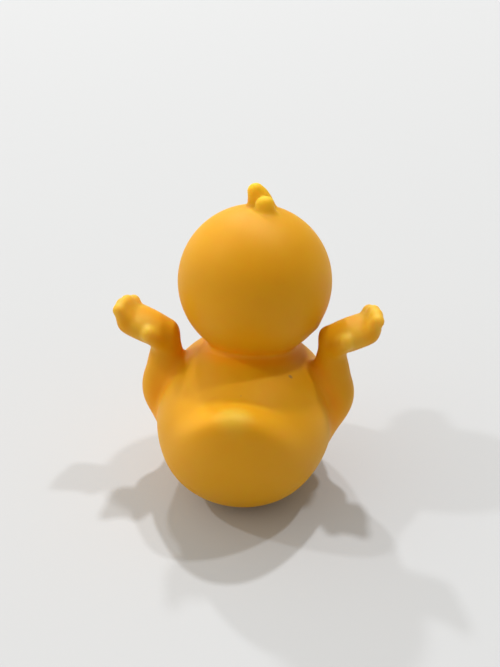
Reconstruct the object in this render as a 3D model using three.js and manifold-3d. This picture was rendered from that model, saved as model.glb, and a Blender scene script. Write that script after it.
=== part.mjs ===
// Bath duck with two raised hands: one hollow moulding of soft vinyl, open only at a vent in its base.
// Millimetres, +Z up. The duck faces -Y, its tail points to +Y and its left hand is at +X.
// The origin is under the middle of the duck's box, on the plane that it stands on.
import * as THREE from "three";
import { LoftGeometry } from "three/addons/geometries/LoftGeometry.js";
import { mergeVertices } from "three/addons/utils/BufferGeometryUtils.js";
import Module from "manifold-3d";

const wasm = await Module();
wasm.setup();

// Wall of the moulding, the vent through its base, and the neck between the hollows of body and head
const WALL = 2.2;
const VENT_DIAMETER = 3;
const VENT_BACK = 6;
const NECK_DIAMETER = 19;
const NECK_BACK = 3;

// Body: a full egg along Y, cut flat underneath so that it stands.
// A fullness of 2 gives an ellipse, and more gives a squarer outline.
const BODY_WIDTH = 54;
const BODY_HEIGHT = 45.5;
const BODY_MIDDLE = 22;
const BODY_CUT = 2;
const CHEST_LENGTH = 30;
const RUMP_LENGTH = 38.5;
const BODY_FULLNESS = 2.16;

// Tail: the upper rear edge of the body, turned up over the last share of the rump, fading out to each side
const TAIL_RISE = 17;
const TAIL_THICKNESS = 11.7;
const TAIL_START = 0.61;
const TAIL_SPREAD = 21;

// Head: a ball sunk into the top of the body, leaning to the duck's right
const HEAD_DIAMETER = 46;
const HEAD_SINK = 6.5;
const HEAD_FORWARD = 8;
const HEAD_LEAN = 3.5;

// Tuft: a curled lock with a short sprig behind it, measured from the crown
const LOCK_ROOT = { out: -0.4, back: -4.5, up: -3, wide: 5.5, thick: 9.6 };
const LOCK_BEND = { out: 0.9, back: -4.5, up: 1.6, wide: 5.2, thick: 6.9 };
const LOCK_TIP = { out: 2.2, back: -4.3, up: 4.4, wide: 4.2, thick: 4.8 };
const SPRIG_ROOT = { out: -1.8, back: -1.2, up: -3, wide: 5.2, thick: 6 };
const SPRIG_TIP = { out: -1.8, back: -1, up: 1.3, wide: 5, thick: 5.8 };

// Bill: an upper and a lower half, measured from the front of the face
const BILL_ROOT = { ahead: -6, up: -3.5, wide: 20, thick: 9 };
const BILL_BRIDGE = { ahead: 2.5, up: -4.6, wide: 19, thick: 6 };
const BILL_TIP = { ahead: 8.5, up: -4, wide: 13, thick: 3.6 };
const JAW_ROOT = { ahead: -7, up: -8.5, wide: 15, thick: 7 };
const JAW_TIP = { ahead: 4, up: -8.8, wide: 11, thick: 3.8 };

// Eyes: the caps of two balls, standing a little proud of the face
const EYE_DIAMETER = 9;
const EYE_PROUD = 0.9;
const EYE_SPREAD = 26;
const EYE_LIFT = 18;

// Arms: measured out from the side of the body and up from its middle
const SHOULDER = { out: -6, back: 1, up: -6.6, wide: 12, thick: 10 };
const ELBOW = { out: -0.8, back: 1, up: 5.4, wide: 12.5, thick: 11.5 };
const FOREARM = { out: -1.3, back: 0.5, up: 14, wide: 10.5, thick: 9.8 };
const WRIST = { out: -2.4, back: 0, up: 20.4, wide: 9, thick: 8.8 };

// Palms: turned up, measured from the wrist; the right one is held a little higher
const RIGHT_HAND_LIFT = 0.9;
const HEEL = { out: 0.2, back: -0.4, up: 4.4, wide: 10.5, thick: 8.8 };
const PALM = { out: 5.4, back: 0.2, up: 7.1, wide: 13.4, thick: 9.2 };
const KNUCKLES = { out: 10.4, back: 0, up: 9.5, wide: 13.8, thick: 7.4 };
const THUMB_ROOT = { out: 1.6, back: 3.4, up: 3.6, wide: 5.2, thick: 5.2 };
const THUMB_TIP = { out: 4.2, back: 6, up: 7, wide: 4.8, thick: 4.8 };

// Fingers: side by side on the knuckles, the rear one first, with their tips measured from the wrist
const FINGER_TIPS = [
  { out: 12.8, up: 14 },
  { out: 12.4, up: 14.4 },
  { out: 11.6, up: 14 },
  { out: 10.3, up: 12.5 },
];
const FINGER_WIDTH = 4.2;
const FINGER_TIP_WIDTH = 3.8;
const FINGER_PITCH = 3.1;

const HEAD_RADIUS = HEAD_DIAMETER / 2;
const HEAD_MIDDLE = BODY_HEIGHT - HEAD_SINK + HEAD_RADIUS;
const vector = (x, y, z) => new THREE.Vector3(x, y, z);
const radians = THREE.MathUtils.degToRad;
const ACROSS = vector(1, 0, 0);
const BACK = vector(0, 1, 0);

// A closed geometry as a solid that can be joined and cut
function solid(geometry) {
  const bare = new THREE.BufferGeometry().copy(geometry);
  bare.deleteAttribute("normal");
  bare.deleteAttribute("uv");
  const merged = mergeVertices(bare, 1e-4);
  const mesh = new wasm.Mesh({
    numProp: 3,
    vertProperties: merged.attributes.position.array,
    triVerts: new Uint32Array(merged.index.array),
  });
  return new wasm.Manifold(mesh);
}

function geometryOf(made) {
  const mesh = made.getMesh();
  const geometry = new THREE.BufferGeometry();
  geometry.setAttribute("position", new THREE.BufferAttribute(mesh.vertProperties, 3));
  geometry.setIndex(new THREE.BufferAttribute(mesh.triVerts, 1));
  return geometry;
}

function join(parts) {
  return parts.reduce((made, part) => made.add(part));
}

// A ball with its poles on Z
function ball(radius, centre, segments) {
  const sphere = new THREE.SphereGeometry(radius, segments, segments / 2);
  sphere.rotateX(Math.PI / 2);
  sphere.translate(centre.x, centre.y, centre.z);
  return solid(sphere);
}

// An oval ring of points round a centre, in the plane across a direction
function ring(centre, along, sideways, half, sides) {
  const over = along.clone().cross(sideways).normalize();
  const across = over.clone().cross(along).normalize();
  const points = [];
  for (let i = 0; i < sides; i++) {
    const turn = (i / sides) * 2 * Math.PI;
    const point = centre.clone();
    point.addScaledVector(across, half.x * Math.cos(turn));
    point.addScaledVector(over, half.y * Math.sin(turn));
    points.push(point);
  }
  return points;
}

// A soft limb through its stops: oval in section, wide along sideways, and round at both ends
function limb(stops, sideways, steps, sides) {
  const path = new THREE.CatmullRomCurve3(stops.map((stop) => stop.at));
  const girth = new THREE.CatmullRomCurve3(stops.map((stop) => vector(stop.wide / 2, stop.thick / 2, 0)));
  const sections = [];
  const add = (place, turn) => {
    const along = path.getTangent(place);
    const half = girth.getPoint(place);
    const centre = path.getPoint(place);
    centre.addScaledVector(along, Math.sin(turn) * Math.min(half.x, half.y));
    half.multiplyScalar(Math.cos(turn));
    sections.push(ring(centre, along, sideways, half, sides));
  };
  const capTurns = [1, 2, 3].map((i) => (i / 3) * (Math.PI / 2));
  capTurns.toReversed().forEach((turn) => add(0, -turn));
  for (let i = 0; i <= steps; i++) {
    add(i / steps, 0);
  }
  capTurns.forEach((turn) => add(1, turn));
  return solid(new LoftGeometry(sections));
}

// The egg of the body with its tail, drawn in by inset on every side
function egg(inset, stations, sides) {
  const sections = [];
  const power = 2 / BODY_FULLNESS;
  for (let i = 0; i <= stations; i++) {
    const angle = (i / stations - 0.5) * Math.PI;
    const along = Math.sign(angle) * Math.abs(Math.sin(angle)) ** power;
    const girth = Math.max(Math.cos(angle), 0) ** power;
    const turnedUp = THREE.MathUtils.smoothstep(along, TAIL_START, 1);
    const reach = (along < 0 ? CHEST_LENGTH : RUMP_LENGTH) - inset;
    const points = [];
    for (let j = 0; j < sides; j++) {
      const turn = (j / sides) * 2 * Math.PI;
      const lift = Math.sin(turn);
      const x = -(BODY_WIDTH / 2 - inset) * girth * Math.cos(turn);
      const tail = turnedUp * Math.exp(-((x / TAIL_SPREAD) ** 2));
      const middle = BODY_MIDDLE + (TAIL_RISE - inset) * tail;
      const above = THREE.MathUtils.lerp(BODY_HEIGHT - BODY_MIDDLE, TAIL_THICKNESS, tail) - inset;
      const below = middle + BODY_CUT - inset;
      const z = middle + (lift > 0 ? above : below) * girth * lift;
      points.push(vector(x, reach * along, z));
    }
    sections.push(points);
  }
  return solid(new LoftGeometry(sections));
}

// One arm with its palm, thumb and fingers: side 1 is the duck's left and -1 its right
function arm(side) {
  const fromBody = (size) => {
    const at = vector(side * (BODY_WIDTH / 2 + size.out), size.back, BODY_MIDDLE + size.up);
    return { ...size, at };
  };
  const wrist = fromBody(WRIST);
  const lift = side < 0 ? RIGHT_HAND_LIFT : 0;
  const fromWrist = (size) => {
    const at = wrist.at.clone().add(vector(side * size.out, size.back, size.up + lift));
    return { ...size, at };
  };
  const palm = fromWrist(PALM);
  const knuckles = fromWrist(KNUCKLES);
  const parts = [
    limb([fromBody(SHOULDER), fromBody(ELBOW), fromBody(FOREARM), wrist], BACK, 12, 18),
    limb([fromWrist(HEEL), palm, knuckles], BACK, 8, 18),
    limb([fromWrist(THUMB_ROOT), fromWrist(THUMB_TIP)], BACK, 4, 10),
  ];
  FINGER_TIPS.forEach(({ out, up }, i) => {
    const back = ((FINGER_TIPS.length - 1) / 2 - i) * FINGER_PITCH;
    const across = vector(0, back, 0);
    const tip = fromWrist({ out, back, up }).at;
    const finger = [
      { at: palm.at.clone().lerp(knuckles.at, 0.5).add(across), wide: FINGER_WIDTH, thick: FINGER_WIDTH },
      { at: knuckles.at.clone().add(across), wide: FINGER_WIDTH, thick: FINGER_WIDTH },
      { at: tip, wide: FINGER_TIP_WIDTH, thick: FINGER_TIP_WIDTH },
    ];
    parts.push(limb(finger, BACK, 4, 10));
  });
  return join(parts);
}

// The head with its tuft, bill and eyes, upright about its own middle
function upright() {
  const onCrown = (size) => ({ ...size, at: vector(size.out, size.back, HEAD_RADIUS + size.up) });
  const onFace = (size) => ({ ...size, at: vector(0, -HEAD_RADIUS - size.ahead, size.up) });
  const parts = [
    ball(HEAD_RADIUS, vector(0, 0, 0), 44),
    limb([LOCK_ROOT, LOCK_BEND, LOCK_TIP].map(onCrown), BACK, 7, 12),
    limb([SPRIG_ROOT, SPRIG_TIP].map(onCrown), BACK, 4, 10),
    limb([BILL_ROOT, BILL_BRIDGE, BILL_TIP].map(onFace), ACROSS, 8, 18),
    limb([JAW_ROOT, JAW_TIP].map(onFace), ACROSS, 5, 14),
  ];
  const eyeDepth = HEAD_RADIUS + EYE_PROUD - EYE_DIAMETER / 2;
  for (const side of [1, -1]) {
    const aim = vector(0, -eyeDepth, 0);
    aim.applyAxisAngle(ACROSS, -radians(EYE_LIFT));
    aim.applyAxisAngle(vector(0, 0, 1), side * radians(EYE_SPREAD));
    parts.push(ball(EYE_DIAMETER / 2, aim, 16));
  }
  return join(parts);
}

const headCentre = vector(-Math.sin(radians(HEAD_LEAN)) * HEAD_RADIUS, -HEAD_FORWARD, HEAD_MIDDLE);
const head = upright().rotate([0, -HEAD_LEAN, 0]).translate(headCentre.toArray());
const outside = join([egg(0, 36, 40), arm(1), arm(-1), head]);

const slab = new THREE.BoxGeometry(4 * BODY_WIDTH, 4 * RUMP_LENGTH, BODY_HEIGHT);
const ground = solid(slab.translate(0, 0, -BODY_HEIGHT / 2));
const neck = new THREE.CylinderGeometry(NECK_DIAMETER / 2, NECK_DIAMETER / 2, 2 * HEAD_SINK, 24);
neck.rotateX(Math.PI / 2);
neck.translate(headCentre.x, headCentre.y + NECK_BACK, BODY_HEIGHT - HEAD_SINK / 2);
const inside = join([
  egg(WALL, 20, 24).subtract(ground.translate([0, 0, WALL])),
  ball(HEAD_RADIUS - WALL, headCentre, 22),
  solid(neck),
]);
const drill = new THREE.CylinderGeometry(VENT_DIAMETER / 2, VENT_DIAMETER / 2, 4 * WALL, 24);
const vent = solid(drill.rotateX(Math.PI / 2).translate(0, VENT_BACK, 0));

const skin = geometryOf(outside.subtract(ground).subtract(inside).subtract(vent));
skin.computeBoundingBox();
const middle = skin.boundingBox.getCenter(vector(0, 0, 0));
skin.translate(-middle.x, -middle.y, 0);

const duck = new THREE.Group();
const vinyl = new THREE.MeshStandardMaterial({ color: 0xf0a830, roughness: 0.6 });
const shell = new THREE.Mesh(skin, vinyl);
shell.name = "duck_shell";
duck.add(shell);
export default duck;
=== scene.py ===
"""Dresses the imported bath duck: one soft vinyl moulding with raised hands, on a pale studio floor.

The duck faces -Y, its tail points to +Y and its left hand is at +X. Sizes are in metres, in the
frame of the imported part.
"""

import math
from collections import namedtuple

import bpy
import numpy as np
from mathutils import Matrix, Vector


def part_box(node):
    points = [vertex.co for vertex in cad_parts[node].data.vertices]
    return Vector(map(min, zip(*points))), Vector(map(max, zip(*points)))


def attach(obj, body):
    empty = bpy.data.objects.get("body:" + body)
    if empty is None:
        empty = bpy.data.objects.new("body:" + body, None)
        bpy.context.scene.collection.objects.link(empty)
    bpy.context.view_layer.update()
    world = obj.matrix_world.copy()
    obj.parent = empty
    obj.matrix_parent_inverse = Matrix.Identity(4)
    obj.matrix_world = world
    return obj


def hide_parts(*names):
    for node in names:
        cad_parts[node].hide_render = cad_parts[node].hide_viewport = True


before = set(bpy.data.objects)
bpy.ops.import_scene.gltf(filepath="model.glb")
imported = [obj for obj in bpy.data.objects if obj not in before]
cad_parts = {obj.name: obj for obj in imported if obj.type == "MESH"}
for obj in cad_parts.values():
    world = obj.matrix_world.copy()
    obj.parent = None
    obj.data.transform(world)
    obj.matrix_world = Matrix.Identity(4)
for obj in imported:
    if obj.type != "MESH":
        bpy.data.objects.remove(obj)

import openvdb
from mathutils import Matrix, Vector

bl_info = {
    "name": "Bath Duck",
    "version": (1, 0, 0),
    "blender": (4, 5, 0),
    "location": "3D View > Sidebar > Duck",
    "description": "Moulds a bath duck with raised hands in soft vinyl, and sets a studio round it",
    "category": "Object",
}

CAD_NODE = "duck_shell"
SKIN_NAME = "duck_skin"
BODY_NAME = "root"

MM = 0.001
CAD_LOW, CAD_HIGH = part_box(CAD_NODE)
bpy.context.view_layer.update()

ACROSS = np.array((1.0, 0.0, 0.0))
BACK = np.array((0.0, 1.0, 0.0))
UP = np.array((0.0, 0.0, 1.0))

# One stop along a limb: its place, then its full width and thickness there, in millimetres
Stop = namedtuple("Stop", "out back up wide thick")

# Tuft, from the crown of the upright head
LOCK = (
    Stop(-0.4, -4.5, -3.0, 5.5, 9.6),
    Stop(0.9, -4.5, 1.6, 5.2, 6.9),
    Stop(2.2, -4.3, 4.1, 4.2, 4.8),
)
SPRIG = (
    Stop(-2.2, 0.9, -3.0, 5.4, 6.0),
    Stop(-1.1, -0.6, 1.6, 4.7, 5.6),
)

# Bill, from the front of the face
UPPER_BILL = (
    Stop(0.0, 6.0, -3.5, 20.0, 9.0),
    Stop(0.0, -2.5, -4.6, 19.0, 6.0),
    Stop(0.0, -8.5, -4.0, 13.0, 3.6),
)
LOWER_BILL = (
    Stop(0.0, 7.0, -8.5, 15.0, 7.0),
    Stop(0.0, -4.0, -8.8, 11.0, 3.8),
)

# Arm, from the side of the body at its middle
ARM = (
    Stop(-6.0, 1.0, -6.6, 12.0, 10.0),
    Stop(-0.8, 1.0, 5.4, 12.5, 11.5),
    Stop(-1.3, 0.5, 14.0, 10.5, 9.8),
    Stop(-2.4, 0.0, 20.4, 9.0, 8.8),
)

# Palm and thumb, from the wrist
PALM = (
    Stop(0.2, -0.4, 4.4, 10.5, 8.8),
    Stop(5.4, 0.2, 7.1, 13.4, 9.2),
    Stop(10.4, 0.0, 9.5, 13.8, 7.4),
)
THUMB = (
    Stop(1.4, 3.4, 3.9, 5.2, 5.2),
    Stop(4.0, 6.5, 7.6, 4.8, 4.8),
)

# Fingers, the rear one first: how far out and up each tip lies from the wrist, in millimetres
FINGER_TIPS = ((12.8, 14.0), (12.4, 14.4), (11.6, 14.0), (10.3, 12.5))
FINGER_WIDTH = 4.2
FINGER_TIP_WIDTH = 3.8
FINGER_PITCH = 3.1

# Heights between which the crease beside an arm softens from the flank's to the shoulder's
SHOULDER_RISE = (30.0 * MM, 38.0 * MM)

# Heights between which the right arm's spread sets in
ARM_SPREAD_RISE = (16.0 * MM, 36.0 * MM)


def length(name, description, millimetres):
    """A length that a user can change"""
    return bpy.props.FloatProperty(
        name=name,
        description=description,
        default=millimetres * MM,
        min=0.0,
        unit="LENGTH",
        precision=5,
    )


def angle(name, description, degrees):
    """An angle that a user can change"""
    return bpy.props.FloatProperty(
        name=name,
        description=description,
        default=math.radians(degrees),
        subtype="ANGLE",
    )


def colour(name, description, red, green, blue):
    """A linear colour that a user can change"""
    return bpy.props.FloatVectorProperty(
        name=name,
        description=description,
        default=(red, green, blue),
        min=0.0,
        soft_max=1.0,
        size=3,
        subtype="COLOR",
    )


def amount(name, description, default):
    """A plain number that a user can change"""
    return bpy.props.FloatProperty(name=name, description=description, default=default)


class DuckShape(bpy.types.PropertyGroup):
    """Sizes of the moulding"""

    wall: length("Wall", "Wall of the hollow moulding", 2.2)
    vent: length("Vent", "Diameter of the vent in the base", 3.0)
    vent_back: length("Vent place", "How far the vent lies behind the middle of the body", 6.0)
    body_width: length("Body width", "Width of the body", 54.0)
    body_height: length("Body height", "Top of the body above its base", 45.5)
    body_middle: length("Body middle", "Height of the widest part of the body", 22.0)
    body_cut: length("Base cut", "How much of the egg the flat base takes off", 2.0)
    chest_length: length("Chest length", "From the body's middle to the front of the chest", 30.0)
    rump_length: length("Rump length", "From the body's middle to the end of the rump", 38.5)
    fullness: amount("Fullness", "2 gives an ellipse, and more a squarer outline", 2.16)
    tail_rise: length("Tail rise", "How far the end of the body turns up", 14.6)
    tail_thickness: length("Tail thickness", "From the turned-up end's middle to its ridge", 15.1)
    tail_start: amount("Tail start", "Share of the rump at which the tail starts to turn up", 0.61)
    tail_spread: length("Tail spread", "How far to each side the turned-up end fades out", 21.0)
    hand_lift: length("Right hand lift", "How much higher the right hand is held", 0.9)
    arm_spread: length("Right arm spread", "How much further out the right arm is held", 0.8)
    head_diameter: length("Head diameter", "Diameter of the head ball", 46.0)
    head_sink: length("Head sink", "How deep the head sits in the body", 6.5)
    head_forward: length("Head forward", "How far ahead of the body's middle the head sits", 8.0)
    head_lean: angle("Head lean", "How far the head leans to the duck's right", 3.5)
    eye_diameter: length("Eye diameter", "Diameter of the ball whose cap is an eye", 9.0)
    eye_proud: length("Eye height", "How far an eye stands out of the face", 0.9)
    eye_spread: angle("Eye spread", "Turn of each eye away from the front", 26.0)
    eye_lift: angle("Eye lift", "Turn of each eye above the middle of the head", 18.0)
    neck_crease: length("Neck crease", "Softness of the crease under the head", 3.0)
    flank_crease: length("Flank crease", "Softness of the crease round the foot of each arm", 2.4)
    shoulder_crease: length("Shoulder crease", "Softness of the crease higher up each arm", 6.0)
    palm_crease: length("Palm crease", "Softness of the crease at each wrist", 2.4)
    thumb_crease: length("Thumb crease", "Softness of the crease beside each thumb", 1.2)
    finger_crease: length("Finger crease", "Softness of the grooves between the fingers", 2.0)
    bill_crease: length("Bill crease", "Softness of the crease round the bill", 1.4)
    mouth_crease: length("Mouth crease", "Softness of the crease between the bill's halves", 0.7)
    eye_crease: length("Eye crease", "Softness of the crease round the eyes", 0.7)
    tuft_crease: length("Tuft crease", "Softness of the crease round the tuft", 1.2)
    sprig_crease: length("Sprig crease", "Softness of the crease between lock and sprig", 0.7)
    base_crease: length("Base edge", "Softness of the edge of the flat base", 0.8)


class DuckFinish(bpy.types.PropertyGroup):
    """Colours and finish of the vinyl, with painted light in its thin tips and tail ridge and
    painted shade in its creases
    """

    pale: colour("Pale vinyl", "Lighter shade in the vinyl", 0.69, 0.335, 0.002)
    deep: colour("Deep vinyl", "Deeper shade in the vinyl", 0.66, 0.303, 0.001)
    bill: colour("Bill", "Paint of the bill", 0.80, 0.13, 0.008)
    eyes: colour("Eyes", "Paint of the eyes", 0.012, 0.009, 0.008)
    dirt: colour("Dirt", "Specks of dirt on the back", 0.33, 0.17, 0.06)
    # Painted light: the hand tips are painted paler as a glow of light through the thin vinyl, and
    # the tail's ridge is painted paler as a highlight
    painted_thin_tip_light: colour("Thin tips", "Paler tips of the hands and of the tail", 0.67, 0.41, 0.034)
    # Painted light: the tuft's tips are painted paler as a glow of light through the thin vinyl
    painted_tuft_tip_glow: colour("Tuft tips", "Paler tips of the tuft", 0.77, 0.50, 0.018)
    tip_reach: length("Tip reach", "How far the paler shade reaches from the end of a tip", 7.5)
    # Painted shade: the creases under the head and beside the arms are painted redder, standing in
    # for light that passes through the vinyl into them
    painted_fold_shade: colour("Folds", "Redder shade of the light in the folds", 0.80, 0.325, 0.001)
    fold_reach: length("Fold reach", "How far the redder shade reaches from a fold", 6.5)
    glow: amount("Glow", "Share of the light that travels inside the vinyl", 0.8)
    glow_depth: length("Glow depth", "How far red light travels inside the hollow's wall", 3.2)
    tip_glow: length("Tip glow depth", "How far red light travels inside the solid tips", 6.0)
    roughness: amount("Roughness", "Mean roughness of the matte skin", 0.56)


class DuckStage(bpy.types.PropertyGroup):
    """Camera, lights and floor"""

    azimuth: angle("Azimuth", "Camera's turn round the duck: 0 is in front of it", 185.5)
    pitch: angle("Pitch", "Camera's height as an angle", 29.0)
    roll: angle("Roll", "Camera's tilt about its own view", 0.5)
    distance: length("Distance", "From the camera to the middle of the head", 330.0)
    lamps: amount("Lamps", "Power of the four lamps together, in watts", 174.0)
    horizon: amount("Horizon", "Brightness of the soft light low down, all round", 0.57)
    zenith: amount("Zenith", "Brightness of the soft light straight overhead", 0.35)
    window: amount("Window", "Added brightness of the soft light on the duck's left", 0.80)
    sky: colour("Sky", "Colour of the soft light", 1.0, 0.92, 0.78)
    floor: colour("Floor", "Paint of the floor", 0.51, 0.53, 0.56)


# Places that follow from the sizes


def smooth_step(low, high, value):
    """Share from 0 to 1 that a value has passed of a range, easing in and out"""
    share = np.clip((value - low) / (high - low), 0.0, 1.0)
    return share * share * (3.0 - 2.0 * share)


def mirrored(points):
    """Points brought to the duck's left side"""
    return np.column_stack((np.abs(points[:, 0]), points[:, 1:]))


def body_place(shape):
    """Middle of the body, in the frame of the part"""
    return np.array((0.0, CAD_HIGH.y - shape.rump_length, shape.body_middle))


def head_place(shape):
    """Middle of the head ball"""
    radius = shape.head_diameter / 2
    side = -math.sin(shape.head_lean) * radius
    height = shape.body_height - shape.head_sink + radius
    return np.array((side, body_place(shape)[1] - shape.head_forward, height))


def beside_arm(points, shape):
    """Points brought to the duck's left and seen from the side of the body, where its arm starts"""
    places = mirrored(points) - body_place(shape) - ACROSS * shape.body_width / 2
    spread = shape.arm_spread * smooth_step(*ARM_SPREAD_RISE, points[:, 2])
    places[:, 0] -= np.where(points[:, 0] < 0, spread, 0.0)
    return places


def in_hand(points, shape):
    """Points brought to the duck's left and seen from the wrist"""
    places = beside_arm(points, shape) - np.array(ARM[-1][:3]) * MM
    places[:, 2] -= np.where(points[:, 0] < 0, shape.hand_lift, 0.0)
    return places


def in_head(points, shape):
    """Points seen from the middle of the upright head"""
    x, y, z = (points - head_place(shape)).T
    cosine, sine = math.cos(shape.head_lean), math.sin(shape.head_lean)
    return np.column_stack((x * cosine + z * sine, y, z * cosine - x * sine))


def in_face(points, shape):
    """Points seen from the front of the upright head"""
    return in_head(points, shape) + BACK * shape.head_diameter / 2


def in_crown(points, shape):
    """Points seen from the top of the upright head"""
    return in_head(points, shape) - UP * shape.head_diameter / 2


# Fields: distances to a surface, below zero inside it

# Distance that a limb gives to points further from it than its margin
FAR = 20.0 * MM
LIMB_MARGIN = 5.0 * MM

# Steps along a limb, and for measuring a slope
LIMB_STEP = 0.4 * MM
SLOPE_STEP = 0.05 * MM
LEAST_STEEPNESS = 1e-6


def slopes(field, points, value):
    """Steepness of a field along each axis"""
    steps = np.eye(3) * SLOPE_STEP
    return np.stack([(field(points + step) - value) / SLOPE_STEP for step in steps], axis=1)


def true_distance(gauge, points):
    """A field of any steepness as distances near its surface"""
    value = gauge(points)
    slope = slopes(gauge, points, value)
    return value / np.maximum(np.linalg.norm(slope, axis=1), LEAST_STEEPNESS)


def joined(first, second, crease):
    """Two fields as one, with a soft crease where they meet"""
    share = np.clip(0.5 + 0.5 * (second - first) / crease, 0.0, 1.0)
    return second + (first - second) * share - crease * share * (1.0 - share)


def ball(points, middle, radius):
    """Round ball"""
    return np.linalg.norm(points - middle, axis=1) - radius


def egg(points, shape):
    """Body with its turned-up tail"""
    middle = body_place(shape)

    def gauge(places):
        x, y, z = (places - middle).T
        along = y / np.where(y < 0, shape.chest_length, shape.rump_length)
        tail = smooth_step(shape.tail_start, 1.0, along) * np.exp(-((x / shape.tail_spread) ** 2))
        lift = shape.tail_rise * tail
        full_height = shape.body_height - shape.body_middle
        above = full_height + (shape.tail_thickness - full_height) * tail
        below = shape.body_middle + lift + shape.body_cut
        up = (z - lift) / np.where(z > lift, above, below)
        girth = np.hypot(x / (shape.body_width / 2), up)
        power = shape.fullness
        return (np.abs(along) ** power + girth**power) ** (1.0 / power) - 1.0

    return true_distance(gauge, points)


def smooth_path(knots, count):
    """Points on a smooth curve through rows of numbers"""
    ends = np.vstack((2 * knots[0] - knots[1], knots, 2 * knots[-1] - knots[-2]))
    places = np.linspace(0.0, len(knots) - 1.0, count)
    index = np.minimum(places.astype(int), len(knots) - 2)
    t = (places - index)[:, None]
    a, b, c, d = (ends[index + i] for i in range(4))
    bend = (2 * a - 5 * b + 4 * c - d) * t**2
    twist = (3 * b - 3 * c + d - a) * t**3
    return 0.5 * (2 * b + (c - a) * t + bend + twist)


def limb(points, stops, sideways):
    """Soft limb, oval in section and round at both ends"""
    knots = np.array(stops, float) * MM
    reach = np.linalg.norm(np.diff(knots[:, :3], axis=0), axis=1).sum()
    path = smooth_path(knots, max(int(reach / LIMB_STEP), 2) + 1)
    centres, halves = path[:, :3], path[:, 3:] / 2
    pad = halves.max() + LIMB_MARGIN
    low, high = centres.min(axis=0) - pad, centres.max(axis=0) + pad
    close = np.all((points > low) & (points < high), axis=1)
    distance = np.full(len(points), FAR)
    if not close.any():
        return distance
    directions = np.gradient(centres, axis=0)
    directions /= np.linalg.norm(directions, axis=1, keepdims=True)

    def gauge(places):
        best = np.full(len(places), np.inf)
        for centre, along, half in zip(centres, directions, halves):
            over = np.cross(along, sideways)
            over /= np.linalg.norm(over)
            across = np.cross(over, along)
            thin = half.min()
            away = places - centre
            oval = (away @ across / half[0]) ** 2 + (away @ over / half[1]) ** 2
            oval += (away @ along / thin) ** 2
            best = np.minimum(best, (np.sqrt(oval) - 1.0) * thin)
        return best

    distance[close] = true_distance(gauge, points[close])
    return distance


def finger_stops():
    """Stops along each finger, the rear one first"""
    palm, knuckles = (np.array(stop[:3]) for stop in PALM[1:])
    fingers = []
    for index, (out, up) in enumerate(FINGER_TIPS):
        back = ((len(FINGER_TIPS) - 1) / 2 - index) * FINGER_PITCH
        aside = BACK * back
        root = Stop(*((palm + knuckles) / 2 + aside), FINGER_WIDTH, FINGER_WIDTH)
        knuckle = Stop(*(knuckles + aside), FINGER_WIDTH, FINGER_WIDTH)
        tip = Stop(out, back, up, FINGER_TIP_WIDTH, FINGER_TIP_WIDTH)
        fingers.append((root, knuckle, tip))
    return fingers


def hands(points, shape):
    """Both hands with their palms, thumbs and fingers"""
    places = in_hand(points, shape)
    whole = joined(limb(places, PALM, BACK), limb(places, THUMB, BACK), shape.thumb_crease)
    for finger in finger_stops():
        whole = joined(whole, limb(places, finger, BACK), shape.finger_crease)
    return whole


def arms(points, shape):
    """Both arms with their hands"""
    arm = limb(beside_arm(points, shape), ARM, BACK)
    return joined(arm, hands(points, shape), shape.palm_crease)


def head(points, shape):
    """Head ball"""
    return ball(points, head_place(shape), shape.head_diameter / 2)


def bill(points, shape):
    """Upper and lower half of the bill"""
    places = in_face(points, shape)
    upper = limb(places, UPPER_BILL, ACROSS)
    lower = limb(places, LOWER_BILL, ACROSS)
    return joined(upper, lower, shape.mouth_crease)


def eyes(points, shape):
    """Caps of two balls that stand out of the face"""
    places = mirrored(in_head(points, shape))
    depth = (shape.head_diameter - shape.eye_diameter) / 2 + shape.eye_proud
    level = depth * math.cos(shape.eye_lift)
    side = level * math.sin(shape.eye_spread)
    front = level * math.cos(shape.eye_spread)
    middle = np.array((side, -front, depth * math.sin(shape.eye_lift)))
    return ball(places, middle, shape.eye_diameter / 2)


def tuft(points, shape):
    """Curled lock on the crown, with a short sprig behind it"""
    places = in_crown(points, shape)
    return joined(limb(places, LOCK, BACK), limb(places, SPRIG, BACK), shape.sprig_crease)


def skin(points, shape):
    """Whole outside of the moulding"""
    top = joined(head(points, shape), bill(points, shape), shape.bill_crease)
    top = joined(top, eyes(points, shape), shape.eye_crease)
    top = joined(top, tuft(points, shape), shape.tuft_crease)
    rise = smooth_step(*SHOULDER_RISE, points[:, 2])
    crease = shape.flank_crease + (shape.shoulder_crease - shape.flank_crease) * rise
    low = joined(egg(points, shape), arms(points, shape), crease)
    whole = joined(low, top, shape.neck_crease)
    return -joined(-whole, points[:, 2], shape.base_crease)


def hollow(points, shape):
    """Hollow inside the body and head, a wall's thickness in from the outside"""
    whole = joined(egg(points, shape), head(points, shape), shape.neck_crease)
    return np.maximum(whole + shape.wall, shape.wall - points[:, 2])


# Meshes

# Spacing of the points at which the skin and the hollow are measured
SKIN_GRID = 0.6 * MM
HOLLOW_GRID = 1.2 * MM

# Points left free round the part, and points to each side of a block
GRID_MARGIN = 4
BLOCK = 8

# Blocks from the surface within which every point is measured, and not only the block's middle
NEAR_BLOCKS = 1.3

# How often each vertex is drawn to the surface, and the least squared slope to trust then
DRAWS = 2
LEAST_SQUARED_SLOPE = 0.25

SHARP_EDGE = math.radians(50.0)
VENT_SIDES = 32
VENT_FLARE = 0.25 * MM


def lattice(counts):
    """Whole-number places of a box of points, one to a row"""
    return np.indices(counts).reshape(3, -1).T


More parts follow.
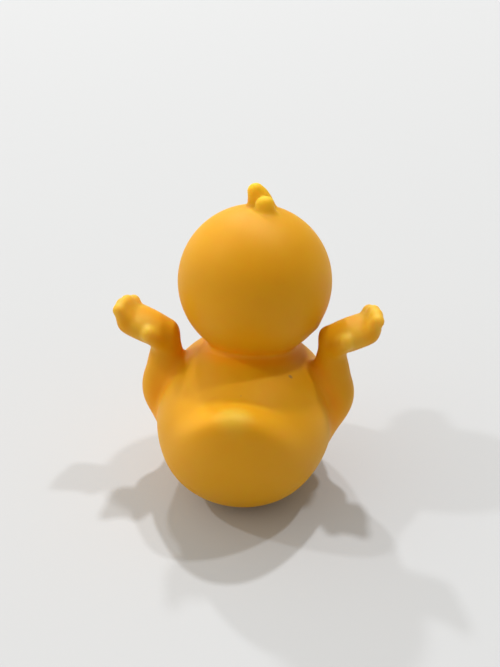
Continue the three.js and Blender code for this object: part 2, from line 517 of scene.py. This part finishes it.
def mesh_of(field, spacing):
    """Vertices and quads of the surface where a field is zero"""
    low = np.array(CAD_LOW) - GRID_MARGIN * spacing
    high = np.array(CAD_HIGH) + GRID_MARGIN * spacing
    width = BLOCK * spacing
    counts = np.ceil((high - low) / width).astype(int)
    coarse = field((lattice(counts) + 0.5) * width + low).reshape(counts)
    values = coarse
    for axis in range(3):
        values = np.repeat(values, BLOCK, axis)
    close = np.argwhere(np.abs(coarse) < NEAR_BLOCKS * width)
    index = (close[:, None, :] * BLOCK + lattice((BLOCK, BLOCK, BLOCK))).reshape(-1, 3)
    values[tuple(index.T)] = field(index * spacing + low)
    volume = openvdb.FloatGrid(FAR)
    volume.copyFromArray(values.astype(np.float32))
    points, quads = volume.convertToQuads(isovalue=0.0)
    points = points.astype(float) * spacing + low
    for _ in range(DRAWS):
        value = field(points)
        slope = slopes(field, points, value)
        steep = np.maximum((slope**2).sum(axis=1), LEAST_SQUARED_SLOPE)
        points -= slope * np.clip(value / steep, -spacing, spacing)[:, None]
    return points, quads


def place_mesh(name, points, faces):
    """Object with a new mesh"""
    mesh = bpy.data.meshes.new(name)
    mesh.from_pydata(points, [], faces)
    made = bpy.data.objects.new(name, mesh)
    bpy.context.scene.collection.objects.link(made)
    return made


def closed_form(name, points, quads):
    """Object with a closed mesh, its faces turned outwards"""
    made = place_mesh(name, points.tolist(), quads.tolist())
    made.data.validate()
    first, second, third = (points[quads[:, i]] for i in range(3))
    if np.einsum("ij,ij->i", np.cross(second - first, third - first), first).sum() < 0:
        made.data.flip_normals()
    return made


def vent_drill(shape):
    """Drill for the vent, flared at the base so that its rim is soft"""
    radius = shape.vent / 2
    profile = (
        (radius + 2 * VENT_FLARE, -VENT_FLARE),
        (radius + VENT_FLARE, 0.0),
        (radius, VENT_FLARE),
        (radius, 2 * shape.wall),
    )
    centre = body_place(shape) + BACK * shape.vent_back
    turns = np.arange(VENT_SIDES) * 2 * math.pi / VENT_SIDES
    circle = np.column_stack((np.cos(turns), np.sin(turns)))
    points = [(*place, up) for around, up in profile for place in circle * around + centre[:2]]
    rings = np.arange(len(points)).reshape(-1, VENT_SIDES)
    turned = np.roll(rings, -1, axis=1)
    sides = np.stack((rings[:-1], turned[:-1], turned[1:], rings[1:]), axis=-1).reshape(-1, 4)
    ends = [rings[0][::-1].tolist(), rings[-1].tolist()]
    return place_mesh("vent_drill", points, sides.tolist() + ends)


def cut(made, tool):
    """Takes a closed tool out of a closed piece, and deletes the tool"""
    change = made.modifiers.new("Cut", "BOOLEAN")
    change.operation = "DIFFERENCE"
    change.solver = "MANIFOLD"
    change.object = tool
    graph = bpy.context.evaluated_depsgraph_get()
    fresh = bpy.data.meshes.new_from_object(made.evaluated_get(graph))
    made.modifiers.clear()
    old, spent = made.data, tool.data
    made.data = fresh
    bpy.data.objects.remove(tool)
    bpy.data.meshes.remove(old)
    bpy.data.meshes.remove(spent)


def points_of(made):
    """Vertices of an object's mesh, one to a row"""
    flat = np.empty(len(made.data.vertices) * 3)
    made.data.vertices.foreach_get("co", flat)
    return flat.reshape(-1, 3)


class DUCK_OT_mould_skin(bpy.types.Operator):
    """Mould the outside of the duck: body, head, bill, eyes, tuft, arms and hands in one skin"""

    bl_idname = "duck.mould_skin"
    bl_label = "Mould skin"

    def execute(self, context):
        shape = context.scene.duck_shape
        spacing = SKIN_GRID
        made = closed_form(SKIN_NAME, *mesh_of(lambda places: skin(places, shape), spacing))
        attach(made, BODY_NAME)
        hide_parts(CAD_NODE)
        return {"FINISHED"}


class DUCK_OT_hollow_skin(bpy.types.Operator):
    """Hollow the moulding to its wall, and open the vent in its base"""

    bl_idname = "duck.hollow_skin"
    bl_label = "Hollow skin"

    def execute(self, context):
        shape = context.scene.duck_shape
        made = bpy.data.objects[SKIN_NAME]
        inside = mesh_of(lambda places: hollow(places, shape), HOLLOW_GRID)
        cut(made, closed_form("hollow_form", *inside))
        cut(made, vent_drill(shape))
        made.data.shade_smooth()
        made.data.set_sharp_from_angle(angle=SHARP_EDGE)
        return {"FINISHED"}


# Materials

# Middle of the tail's ridge, where its painted highlight is centred, from the middle of the body, in
# millimetres
TAIL_RIDGE = (0.0, 35.0, 20.3)

# Two specks of dirt on the back: place and radius
DIRT_SPECKS = (
    ((-0.0139, 0.0128, 0.0412), 0.0009),
    ((-0.0007, 0.0250, 0.0413), 0.0002),
)

# Shares of a speck's radius, and of the reach of a tip's painted glow or a crease's painted shade,
# within which it is full
DIRT_CORE = 0.3
FULL_REACH = 0.15

# Half the width of the blurred edge of a paint, in millimetres
PAINT_EDGE = 0.1

# How far red, green and blue light travel inside the vinyl, as shares of red
GLOW_SPREAD = (1.0, 0.50, 0.12)
VINYL_IOR = 1.47
SHEEN_TINT = (1.0, 0.82, 0.42, 1.0)
EYE_ROUGHNESS = 0.22
ROUGHNESS_SPREAD = 0.05

# Noise: how fine and how detailed the vinyl's two shades and its grain are
Noise = namedtuple("Noise", "scale detail")
SHADES = Noise(45.0, 2.0)
GRAIN = Noise(1800.0, 3.0)
GRAIN_STRENGTH = 0.25
GRAIN_DEPTH = 0.03 * MM


def limb_end(stops):
    """Point at the very end of a limb"""
    before, last = (np.array(stop[:3]) for stop in stops[-2:])
    along = (last - before) / np.linalg.norm(last - before)
    return (last + along * min(stops[-1][3:]) / 2) * MM


def tip_distance(places, limbs):
    """Distance to the end of the nearest limb"""
    return np.min([ball(places, limb_end(stops), 0.0) for stops in limbs], axis=0)


def fold_distance(points, shape):
    """How far a point of the skin lies from the creases under the head and beside the arms"""
    body = np.abs(egg(points, shape))
    others = (head(points, shape), arms(points, shape))
    return body + np.minimum(*np.abs(others))


def skin_layers(points, shape):
    """Distances that the mesh carries for the painted light of its thin tips and tail ridge, the
    painted redder shade in its creases, and its paint
    """
    hand_tips = tip_distance(in_hand(points, shape), (THUMB, *finger_stops()))
    ridge = body_place(shape) + np.array(TAIL_RIDGE) * MM
    face = np.minimum(head(points, shape), FAR / 2)
    return {
        "thin_tip_distance": np.minimum(hand_tips, ball(points, ridge, 0.0)),
        "tuft_tip_distance": tip_distance(in_crown(points, shape), (LOCK, SPRIG)),
        "fold_distance": fold_distance(points, shape),
        "bill_paint": face - bill(points, shape),
        "eye_paint": face - eyes(points, shape),
    }


class Nodes:
    """Short way to add and link shader nodes"""

    def __init__(self, tree):
        self.tree = tree
        tree.nodes.clear()

    def add(self, kind, **values):
        """New node with its settings"""
        node = self.tree.nodes.new(kind)
        for name, value in values.items():
            setattr(node, name, value)
        return node

    def link(self, start, end):
        """Link from an output to an input"""
        self.tree.links.new(start, end)

    def ramp(self, value, start, end, low=0.0, high=1.0, easing="LINEAR"):
        """A value that runs from start to end, brought to the range from low to high"""
        node = self.add("ShaderNodeMapRange", interpolation_type=easing)
        self.link(value, node.inputs["Value"])
        node.inputs["From Min"].default_value = start
        node.inputs["From Max"].default_value = end
        node.inputs["To Min"].default_value = low
        node.inputs["To Max"].default_value = high
        return node.outputs["Result"]

    def calculate(self, operation, first, second):
        """Two outputs worked out as one"""
        node = self.add("ShaderNodeMath", operation=operation)
        self.link(first, node.inputs[0])
        self.link(second, node.inputs[1])
        return node.outputs["Value"]

    def noise(self, place, kind):
        """Soft noise over the surface"""
        node = self.add("ShaderNodeTexNoise")
        node.inputs["Scale"].default_value = kind.scale
        node.inputs["Detail"].default_value = kind.detail
        self.link(place, node.inputs["Vector"])
        return node.outputs["Fac"]

    def mix(self, share, first, second):
        """Two colours mixed: each is a colour or a node's output"""
        node = self.add("ShaderNodeMix", data_type="RGBA")
        self.link(share, node.inputs["Factor"])
        for name, value in (("A", first), ("B", second)):
            socket = next(s for s in node.inputs if s.name == name and s.type == "RGBA")
            if isinstance(value, bpy.types.NodeSocket):
                self.link(value, socket)
            else:
                socket.default_value = (*value, 1.0)
        return next(s for s in node.outputs if s.type == "RGBA")

    def layer(self, name):
        """Distance that the mesh carries, in millimetres"""
        return self.add("ShaderNodeAttribute", attribute_name=name).outputs["Fac"]

    def painted(self, name):
        """Share of paint, from the distance to its edge"""
        return self.ramp(self.layer(name), -PAINT_EDGE, PAINT_EDGE)

    def closeness(self, name, reach):
        """Share that fades out as a distance grows"""
        full = FULL_REACH * reach / MM
        return self.ramp(self.layer(name), reach / MM, full, easing="SMOOTHSTEP")

    def speck(self, place, where, radius):
        """Share of dirt round a point"""
        node = self.add("ShaderNodeVectorMath", operation="DISTANCE")
        self.link(place, node.inputs[0])
        node.inputs[1].default_value = where
        return self.ramp(node.outputs["Value"], radius, DIRT_CORE * radius)


def new_material(name):
    """Material with one shader: the material, its nodes and the shader"""
    material = bpy.data.materials.new(name)
    material.use_nodes = True
    nodes = Nodes(material.node_tree)
    output = nodes.add("ShaderNodeOutputMaterial")
    shader = nodes.add("ShaderNodeBsdfPrincipled")
    nodes.link(shader.outputs["BSDF"], output.inputs["Surface"])
    return material, nodes, shader


def soft_vinyl(finish):
    """Matte soft vinyl with a warm glow, painted bill and eyes, and two specks of dirt"""
    material, nodes, vinyl = new_material("soft_vinyl")
    place = nodes.add("ShaderNodeTexCoord").outputs["Object"]
    thin_tip = nodes.closeness("thin_tip_distance", finish.tip_reach)
    tuft_tip = nodes.closeness("tuft_tip_distance", finish.tip_reach)
    eye = nodes.painted("eye_paint")

    # Layers over the vinyl: painted redder shade in the creases, painted glow in the thin tips, a
    # painted highlight on the tail's ridge, then specks of dirt and the paint of the bill and eyes
    paint_and_light_layers = [
        (nodes.closeness("fold_distance", finish.fold_reach), finish.painted_fold_shade),
        (thin_tip, finish.painted_thin_tip_light),
        (tuft_tip, finish.painted_tuft_tip_glow),
    ]
    paint_and_light_layers += [(nodes.speck(place, where, radius), finish.dirt) for where, radius in DIRT_SPECKS]
    paint_and_light_layers += [(nodes.painted("bill_paint"), finish.bill), (eye, finish.eyes)]
    tint = nodes.mix(nodes.noise(place, SHADES), finish.pale, finish.deep)
    for share, layer_colour in paint_and_light_layers:
        tint = nodes.mix(share, tint, layer_colour)
    nodes.link(tint, vinyl.inputs["Base Color"])

    grain = nodes.noise(place, GRAIN)
    smoothest = finish.roughness - ROUGHNESS_SPREAD
    roughest = finish.roughness + ROUGHNESS_SPREAD
    gloss = nodes.add("ShaderNodeMix")
    nodes.link(eye, gloss.inputs["Factor"])
    nodes.link(nodes.ramp(grain, 0.0, 1.0, smoothest, roughest), gloss.inputs["A"])
    gloss.inputs["B"].default_value = EYE_ROUGHNESS
    nodes.link(gloss.outputs["Result"], vinyl.inputs["Roughness"])

    bump = nodes.add("ShaderNodeBump")
    bump.inputs["Strength"].default_value = GRAIN_STRENGTH
    bump.inputs["Distance"].default_value = GRAIN_DEPTH
    nodes.link(grain, bump.inputs["Height"])
    nodes.link(bump.outputs["Normal"], vinyl.inputs["Normal"])

    tip = nodes.calculate("MAXIMUM", thin_tip, tuft_tip)
    depth = nodes.ramp(tip, 0.0, 1.0, finish.glow_depth, finish.tip_glow)
    nodes.link(depth, vinyl.inputs["Subsurface Scale"])
    vinyl.inputs["Subsurface Weight"].default_value = finish.glow
    vinyl.inputs["Subsurface Radius"].default_value = GLOW_SPREAD
    vinyl.inputs["IOR"].default_value = VINYL_IOR
    vinyl.inputs["Specular Tint"].default_value = SHEEN_TINT
    return material


class DUCK_OT_colour_skin(bpy.types.Operator):
    """Give the moulding its vinyl, with the paint of the bill and eyes"""

    bl_idname = "duck.colour_skin"
    bl_label = "Colour skin"

    def execute(self, context):
        made = bpy.data.objects[SKIN_NAME]
        layers = skin_layers(points_of(made), context.scene.duck_shape)
        for name, distance in layers.items():
            layer = made.data.attributes.new(name, "FLOAT", "POINT")
            layer.data.foreach_set("value", (distance / MM).astype(np.float32))
        made.data.materials.clear()
        made.data.materials.append(soft_vinyl(context.scene.duck_finish))
        return {"FINISHED"}


# Stage

# Size of the picture, its focal length and the middle of the head in it, in pixels
IMAGE_WIDTH = 500
IMAGE_HEIGHT = 667
FOCAL_PIXELS = 1105.0
HEAD_PIXEL = (254.9, 281.0)

SENSOR_HEIGHT = 24.0
NEAREST_SEEN = 0.01
FURTHEST_SEEN = 50.0

FLOOR_SIZE = 12.0
FLOOR_DROP = 0.1 * MM
FLOOR_ROUGHNESS = 0.8

# Ceiling lamps: the way towards each, and its share of their power
Lamp = namedtuple("Lamp", "name towards share")
LAMPS = (
    Lamp("right_lamp", (-0.314, -0.200, 0.928), 0.22),
    Lamp("middle_lamp", (-0.020, -0.395, 0.918), 0.37),
    Lamp("left_lamp", (0.688, -0.020, 0.725), 0.18),
    Lamp("front_lamp", (0.286, -0.688, 0.667), 0.23),
)
LAMP_DISTANCE = 4.0
LAMP_SIZE = 0.2


def camera_axes(stage):
    """Right, up and back of the camera"""
    level = math.cos(stage.pitch)
    side, behind = math.sin(stage.azimuth) * level, -math.cos(stage.azimuth) * level
    back = Vector((side, behind, math.sin(stage.pitch)))
    right = Vector(UP).cross(back).normalized()
    up = back.cross(right)
    cosine, sine = math.cos(stage.roll), math.sin(stage.roll)
    return cosine * right + sine * up, cosine * up - sine * right, back


def set_camera(context, stage, shape):
    """Camera that sees the middle of the head at its pixel"""
    right, up, back = camera_axes(stage)
    ray = right * (HEAD_PIXEL[0] - IMAGE_WIDTH / 2) + up * (IMAGE_HEIGHT / 2 - HEAD_PIXEL[1])
    ray = (ray / FOCAL_PIXELS - back).normalized()
    place = Vector(head_place(shape)) - ray * stage.distance
    data = bpy.data.cameras.new("studio_camera")
    data.sensor_fit = "VERTICAL"
    data.sensor_height = SENSOR_HEIGHT
    data.lens = FOCAL_PIXELS / IMAGE_HEIGHT * SENSOR_HEIGHT
    data.clip_start = NEAREST_SEEN
    data.clip_end = FURTHEST_SEEN
    camera = bpy.data.objects.new("studio_camera", data)
    turn = Matrix((right, up, back)).transposed().to_4x4()
    camera.matrix_world = Matrix.Translation(place) @ turn
    context.scene.collection.objects.link(camera)
    context.scene.camera = camera


def add_lamp(context, lamp, power):
    """Small square lamp far off, aimed at the duck"""
    data = bpy.data.lights.new(lamp.name, "AREA")
    data.size = LAMP_SIZE
    data.energy = power
    made = bpy.data.objects.new(lamp.name, data)
    direction = Vector(lamp.towards).normalized()
    made.location = direction * LAMP_DISTANCE
    made.rotation_euler = direction.to_track_quat("Z", "Y").to_euler()
    context.scene.collection.objects.link(made)


def set_sky(context, stage):
    """Soft light all round, dimmer overhead and brighter on the duck's left"""
    world = bpy.data.worlds.new("studio_sky")
    world.use_nodes = True
    nodes = Nodes(world.node_tree)
    output = nodes.add("ShaderNodeOutputWorld")
    sky = nodes.add("ShaderNodeBackground")
    nodes.link(sky.outputs["Background"], output.inputs["Surface"])
    sky.inputs["Color"].default_value = (*stage.sky, 1.0)
    way = nodes.add("ShaderNodeSeparateXYZ")
    nodes.link(nodes.add("ShaderNodeTexCoord").outputs["Generated"], way.inputs["Vector"])
    height = nodes.ramp(way.outputs["Z"], 0.0, 1.0, stage.horizon, stage.zenith)
    side = nodes.ramp(way.outputs["X"], 0.0, 1.0, 0.0, stage.window)
    nodes.link(nodes.calculate("ADD", height, side), sky.inputs["Strength"])
    context.scene.world = world


def pale_floor(stage):
    """Matte pale paint"""
    material, _, paint = new_material("pale_floor")
    paint.inputs["Base Color"].default_value = (*stage.floor, 1.0)
    paint.inputs["Roughness"].default_value = FLOOR_ROUGHNESS
    return material


class DUCK_OT_set_stage(bpy.types.Operator):
    """Set the camera, lamps, sky and floor"""

    bl_idname = "duck.set_stage"
    bl_label = "Set stage"

    def execute(self, context):
        stage = context.scene.duck_stage
        set_camera(context, stage, context.scene.duck_shape)
        for lamp in LAMPS:
            add_lamp(context, lamp, stage.lamps * lamp.share)
        set_sky(context, stage)
        half = FLOOR_SIZE / 2
        corners = [(-half, -half, 0), (half, -half, 0), (half, half, 0), (-half, half, 0)]
        floor = place_mesh("studio_floor", corners, [(0, 1, 2, 3)])
        floor.location.z = -FLOOR_DROP
        floor.data.materials.append(pale_floor(stage))
        context.scene.view_settings.view_transform = "Standard"
        return {"FINISHED"}


class DUCK_PT_panel(bpy.types.Panel):
    """Lists the duck's steps and sizes in the sidebar"""

    bl_idname = "DUCK_PT_panel"
    bl_label = "Bath Duck"
    bl_space_type = "VIEW_3D"
    bl_region_type = "UI"
    bl_category = "Duck"

    def draw(self, context):
        for operator in OPERATORS:
            self.layout.operator(operator.bl_idname)
        for group_name in GROUPS:
            group = getattr(context.scene, group_name)
            box = self.layout.box()
            for name in group.bl_rna.properties.keys():
                if name not in ("rna_type", "name"):
                    box.prop(group, name)


OPERATORS = (DUCK_OT_mould_skin, DUCK_OT_hollow_skin, DUCK_OT_colour_skin, DUCK_OT_set_stage)
GROUPS = {"duck_shape": DuckShape, "duck_finish": DuckFinish, "duck_stage": DuckStage}
CLASSES = (*GROUPS.values(), *OPERATORS, DUCK_PT_panel)


def register():
    for made in CLASSES:
        bpy.utils.register_class(made)
    for name, group in GROUPS.items():
        setattr(bpy.types.Scene, name, bpy.props.PointerProperty(type=group))


def unregister():
    for name in GROUPS:
        delattr(bpy.types.Scene, name)
    for made in reversed(CLASSES):
        bpy.utils.unregister_class(made)


def main():
    register()
    bpy.ops.duck.mould_skin()
    bpy.ops.duck.hollow_skin()
    bpy.ops.duck.colour_skin()
    bpy.ops.duck.set_stage()


if __name__ == "__main__":
    main()
